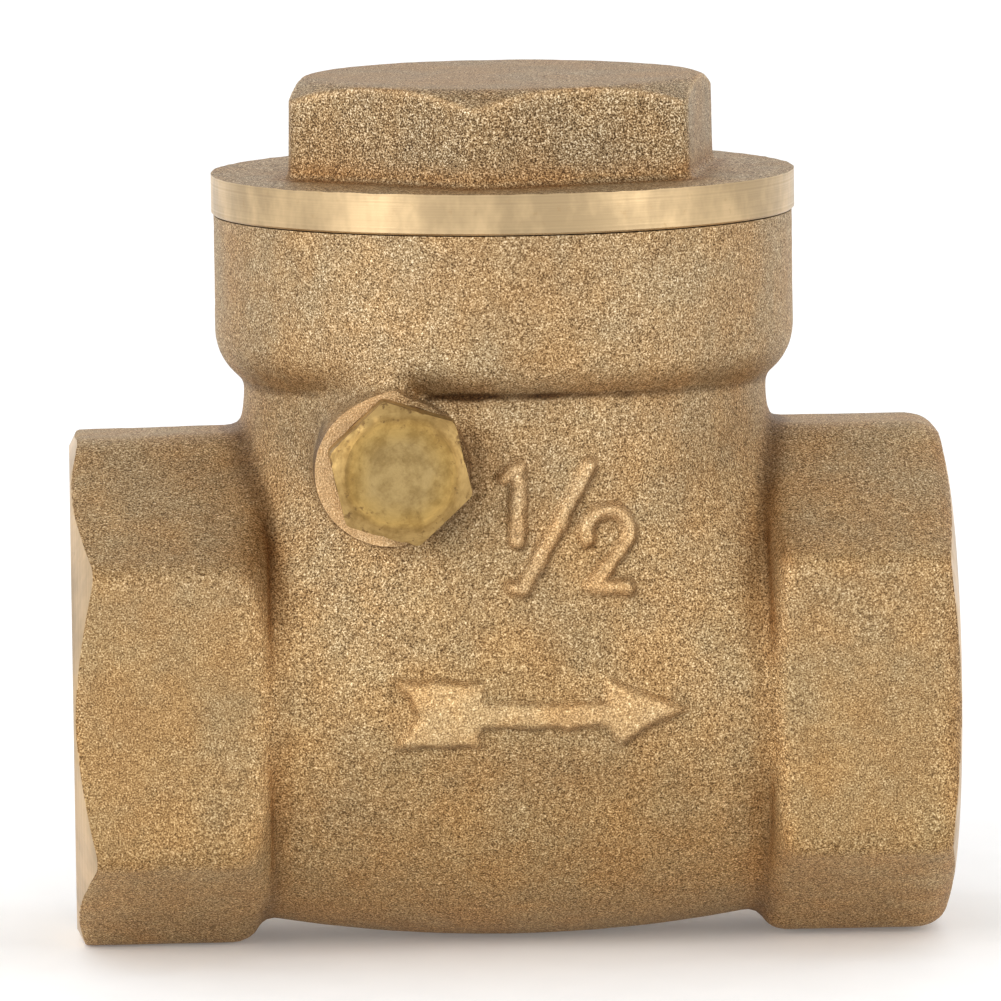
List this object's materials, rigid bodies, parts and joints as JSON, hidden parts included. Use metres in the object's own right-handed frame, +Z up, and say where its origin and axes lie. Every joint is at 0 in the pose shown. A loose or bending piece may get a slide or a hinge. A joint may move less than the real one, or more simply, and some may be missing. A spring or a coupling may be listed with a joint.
{
  "type": "swing check valve",
  "caption": "Cast brass swing check valve with hexagonal female-threaded ends, screwed hexagon bonnet, side hinge plugs and a swinging clapper with a rubber-faced disc.",
  "frame": {"origin": "on the vertical centre line of the bonnet, level with the bottom flats of the hexagonal ends that the valve stands on", "axes": "+X is the direction of flow, from inlet to outlet; +Z points up to the bonnet; -Y is the side with the flow arrow and numerals"},
  "size_m": [0.048, 0.0342, 0.0476],
  "materials": {
    "cast_brass": "sand-cast and blasted, fine grain, machined where it seals and screws",
    "machined_brass": "turned",
    "stainless_pin": "ground",
    "seat_rubber": "moulded, matt",
    "gasket_fibre": "flat sealing ring, matt"
  },
  "bodies": {
    "casing": {"valve_body": "cast_brass", "front_hinge_plug": "machined_brass", "rear_hinge_plug": "machined_brass", "front_plug_seal": "gasket_fibre", "rear_plug_seal": "gasket_fibre", "hinge_pin": "stainless_pin"},
    "gasket": {"bonnet_gasket": "gasket_fibre"},
    "bonnet": {"bonnet_cap": "cast_brass"},
    "clapper_arm": {"disc_hanger": "cast_brass"},
    "clapper_disc": {"disc_holder": "machined_brass", "seat_disc": "seat_rubber", "seat_disc_washer": "machined_brass", "seat_disc_nut": "machined_brass", "hanger_washer": "machined_brass", "hanger_nut": "machined_brass"}
  },
  "joints": [
    {"name": "clapper_swing", "type": "hinge", "parent": "casing", "child": "clapper_arm", "pos_m": [-0.00635, 0, 0.0275], "axis": [0, -1, 0], "range_deg": [0, 62]},
    {"name": "disc_spin", "type": "hinge", "parent": "clapper_arm", "child": "clapper_disc", "pos_m": [-0.0042, 0, 0.01405], "axis": [1, 0, 0], "continuous": true},
    {"name": "bonnet_turn", "type": "hinge", "parent": "casing", "child": "gasket", "pos_m": [0, 0, 0.04], "axis": [0, 0, 1], "range_deg": [0, 1800]},
    {"name": "bonnet_lift", "type": "slide", "parent": "gasket", "child": "bonnet", "axis": [0, 0, 1], "range_m": [0, 0.0075]}
  ],
  "couplings": [
    {"joint": "bonnet_lift", "follows": "bonnet_turn", "m_per_rad": 0.00023873}
  ]
}
